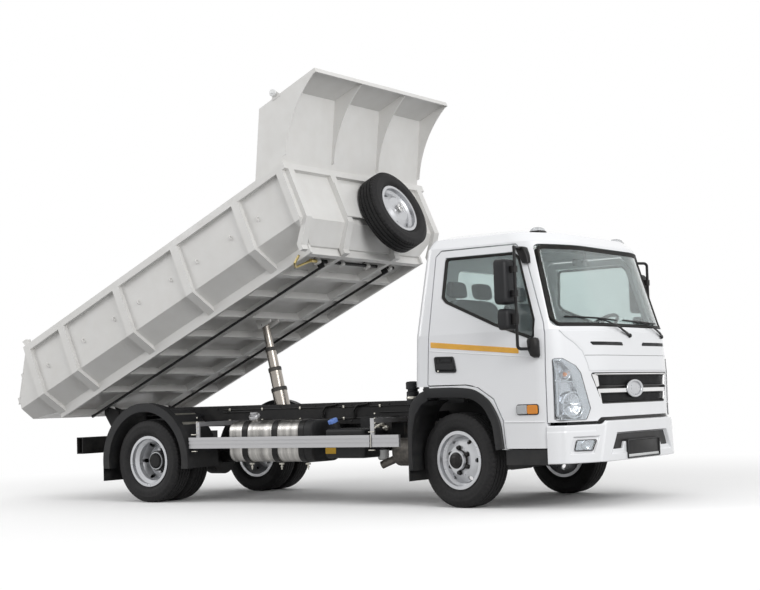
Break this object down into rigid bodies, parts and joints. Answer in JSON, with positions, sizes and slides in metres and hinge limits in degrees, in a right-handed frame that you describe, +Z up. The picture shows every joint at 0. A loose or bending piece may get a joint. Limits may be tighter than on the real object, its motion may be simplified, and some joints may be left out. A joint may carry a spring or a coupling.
{
  "type": "two-axle tipper truck",
  "caption": "Light cab-over tipper truck with a raised steel bed, telescopic hoist, hinged tailgate, tilting cab, opening doors and steered front wheels.",
  "frame": {"origin": "on the ground, at the middle of the length and width of the truck as it stands with its bed raised", "axes": "+X forward, +Y to the truck's left, +Z up"},
  "size_m": [6.3286, 2.56, 3.7837],
  "materials": {
    "cab_white": "gloss white paint",
    "bed_white": "satin light grey-white paint",
    "chassis_black": "satin black paint",
    "cast_block": "cast, painted dark",
    "aluminium_core": "matte",
    "tank_aluminium": "brushed",
    "black_plastic": "grained",
    "steel_can": "dull",
    "rail_silver": "satin anodised",
    "lamp_red": "clear red lens",
    "plate_white": "blank plate",
    "glass": "tinted",
    "lamp_clear": "clear lens over chrome",
    "grille_grey": "dark with bright slats",
    "interior_grey": "grained",
    "interior_black": "grained",
    "seat_fabric": "woven",
    "zinc_steel": "yellow zinc and black",
    "hoist_steel": "honed",
    "tyre": "rubber",
    "wheel_silver": "silver paint"
  },
  "bodies": {
    "chassis": {"frame": "chassis_black", "front_axle": "chassis_black", "springs": "chassis_black", "rear_axle": "chassis_black", "propeller_shaft": "chassis_black", "engine": "cast_block", "radiator": "aluminium_core", "fuel_tank": "tank_aluminium", "urea_tank": "black_plastic", "battery_box": "black_plastic", "air_tanks": "chassis_black", "exhaust": "steel_can", "side_guards": "rail_silver", "mudguards": "black_plastic", "underrun_bar": "chassis_black", "tail_lamps": "lamp_red", "air_intake": "black_plastic", "cab_steps": "black_plastic", "front_bumper": "cab_white", "number_plate": "plate_white"},
    "cab": {"cab_shell": "cab_white", "front_panel": "cab_white", "cab_glass": "glass", "headlamps": "lamp_clear", "grille": "grille_grey", "arch_flares": "black_plastic", "dashboard": "interior_grey", "steering_wheel": "interior_black", "seats": "seat_fabric", "roof_lamps": "lamp_clear"},
    "door_left": {"door_left": "cab_white", "door_glass_left": "glass", "mirror_left": "black_plastic"},
    "door_right": {"door_right": "cab_white", "door_glass_right": "glass", "mirror_right": "black_plastic"},
    "knuckle_left": {"knuckle_left": "chassis_black"},
    "knuckle_right": {"knuckle_right": "chassis_black"},
    "tie_rod": {"tie_rod": "chassis_black"},
    "front_wheel_left": {"front_rim_left": "wheel_silver", "front_tyre_left": "tyre"},
    "front_wheel_right": {"front_rim_right": "wheel_silver", "front_tyre_right": "tyre"},
    "rear_wheels_left": {"rear_rims_left": "wheel_silver", "rear_tyres_left": "tyre"},
    "rear_wheels_right": {"rear_rims_right": "wheel_silver", "rear_tyres_right": "tyre"},
    "bed": {"bed_tub": "bed_white", "bed_frame": "bed_white", "headboard": "bed_white", "gate_release": "zinc_steel", "spare_carrier": "bed_white", "spare_tyre": "tyre", "spare_rim": "wheel_silver"},
    "tailgate": {"tailgate": "bed_white"},
    "hoist_barrel": {"hoist_barrel": "hoist_steel"},
    "hoist_stage_1": {"hoist_stage_1": "hoist_steel"},
    "hoist_stage_2": {"hoist_stage_2": "hoist_steel"},
    "hoist_stage_3": {"hoist_stage_3": "hoist_steel"},
    "hoist_rod": {"hoist_rod": "hoist_steel"}
  },
  "joints": [
    {"name": "cab_tilt", "type": "hinge", "parent": "chassis", "child": "cab", "pos_m": [3.09931, 0, 0.668], "axis": [0, 1, 0], "range_deg": [0, 45]},
    {"name": "door_left_swing", "type": "hinge", "parent": "cab", "child": "door_left", "pos_m": [2.85931, 1.032, 0.9], "axis": [0, 0, -1], "range_deg": [0, 68]},
    {"name": "door_right_swing", "type": "hinge", "parent": "cab", "child": "door_right", "pos_m": [2.85931, -1.032, 0.9], "axis": [0, 0, 1], "range_deg": [0, 68]},
    {"name": "steer_left", "type": "hinge", "parent": "chassis", "child": "knuckle_left", "pos_m": [2.01431, 0.745, 0.384], "axis": [0, 0, 1], "range_deg": [-23.5, 42.5]},
    {"name": "steer_right", "type": "hinge", "parent": "chassis", "child": "knuckle_right", "pos_m": [2.01431, -0.745, 0.384], "axis": [0, 0, 1], "range_deg": [-23.51, 42.51]},
    {"name": "tie_rod_pivot", "type": "hinge", "parent": "knuckle_left", "child": "tie_rod", "pos_m": [1.86637, 0.76976, 0.266], "axis": [0, 0, 1], "range_deg": [-42.51, 23.51]},
    {"name": "front_wheel_left_spin", "type": "hinge", "parent": "knuckle_left", "child": "front_wheel_left", "pos_m": [2.03131, 0.84659, 0.384], "axis": [0.165, 0.9863, 0], "continuous": true},
    {"name": "front_wheel_right_spin", "type": "hinge", "parent": "knuckle_right", "child": "front_wheel_right", "pos_m": [1.99731, -0.84659, 0.384], "axis": [0.165, 0.9863, 0], "continuous": true},
    {"name": "rear_wheels_left_spin", "type": "hinge", "parent": "chassis", "child": "rear_wheels_left", "pos_m": [-1.42569, 0.78, 0.384], "axis": [0, 1, 0], "continuous": true},
    {"name": "rear_wheels_right_spin", "type": "hinge", "parent": "chassis", "child": "rear_wheels_right", "pos_m": [-1.42569, -0.78, 0.384], "axis": [0, 1, 0], "continuous": true},
    {"name": "bed_tilt", "type": "hinge", "parent": "chassis", "child": "bed", "pos_m": [-2.52569, 0, 0.875], "axis": [0, -1, 0], "range_deg": [-23.5, 16.5]},
    {"name": "tailgate_swing", "type": "hinge", "parent": "bed", "child": "tailgate", "pos_m": [-3.02347, 0, 1.57344], "axis": [0, 1, 0], "range_deg": [0, 60]},
    {"name": "hoist_swing", "type": "hinge", "parent": "chassis", "child": "hoist_barrel", "pos_m": [-0.57569, 0, 0.8], "axis": [0, -1, 0], "range_deg": [-8.94, 6.28]},
    {"name": "hoist_stage_1_slide", "type": "slide", "parent": "hoist_barrel", "child": "hoist_stage_1", "axis": [-0.2311, 0, 0.9729], "range_m": [-0.19478, 0.13691]},
    {"name": "hoist_stage_2_slide", "type": "slide", "parent": "hoist_stage_1", "child": "hoist_stage_2", "axis": [-0.2311, 0, 0.9729], "range_m": [-0.19478, 0.13691]},
    {"name": "hoist_stage_3_slide", "type": "slide", "parent": "hoist_stage_2", "child": "hoist_stage_3", "axis": [-0.2311, 0, 0.9729], "range_m": [-0.19478, 0.13691]},
    {"name": "hoist_rod_slide", "type": "slide", "parent": "hoist_stage_3", "child": "hoist_rod", "axis": [-0.2311, 0, 0.9729], "range_m": [-0.19478, 0.13691]}
  ],
  "couplings": [
    {"joint": "steer_right", "follows": "steer_left", "ratio": 1},
    {"joint": "tie_rod_pivot", "follows": "steer_left", "ratio": -1},
    {"joint": "hoist_swing", "follows": "bed_tilt", "ratio": 0.38},
    {"joint": "hoist_stage_1_slide", "follows": "bed_tilt", "m_per_rad": 0.47367},
    {"joint": "hoist_stage_2_slide", "follows": "bed_tilt", "m_per_rad": 0.47367},
    {"joint": "hoist_stage_3_slide", "follows": "bed_tilt", "m_per_rad": 0.47367},
    {"joint": "hoist_rod_slide", "follows": "bed_tilt", "m_per_rad": 0.47367}
  ]
}
